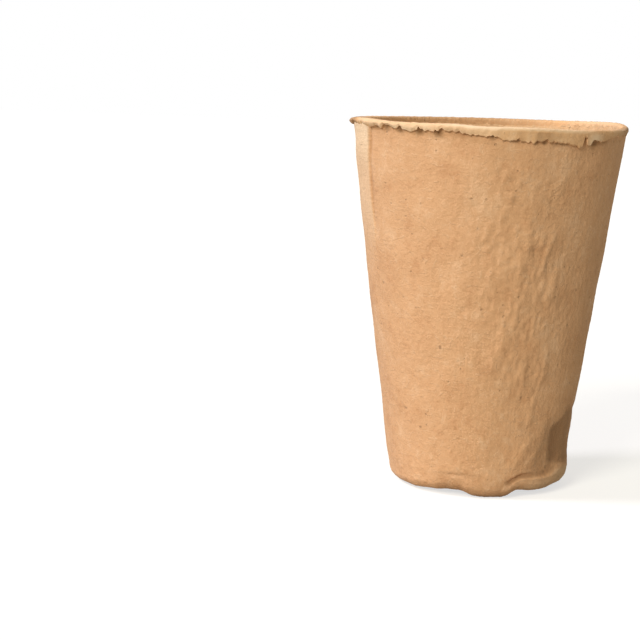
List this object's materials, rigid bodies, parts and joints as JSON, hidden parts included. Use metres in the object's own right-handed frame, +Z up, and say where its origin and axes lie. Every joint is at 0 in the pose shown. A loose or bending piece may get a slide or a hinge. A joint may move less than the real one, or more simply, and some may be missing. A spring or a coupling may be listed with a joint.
{
  "type": "peat pot",
  "caption": "Tapered round peat pot of moulded pulp with a folded lip, a torn flash fringe, a dented heel and a raised floor; holds soil for a seedling.",
  "frame": {"origin": "centre of the ground ring that the pot stands on", "axes": "+Z up along the pot's axis, out of its mouth; -Y is the front, the side the picture shows"},
  "size_m": [0.076, 0.076, 0.1],
  "materials": {
    "pulp": "matt, felted peat and paper fibre with dark flecks",
    "pressed_pulp": "matt, pressed smoother and paler, torn at the edge"
  },
  "bodies": {
    "root": {"side_wall": "pulp", "rim_lip": "pressed_pulp", "rim_flash": "pressed_pulp", "heel": "pulp", "floor_panel": "pulp"}
  },
  "joints": []
}
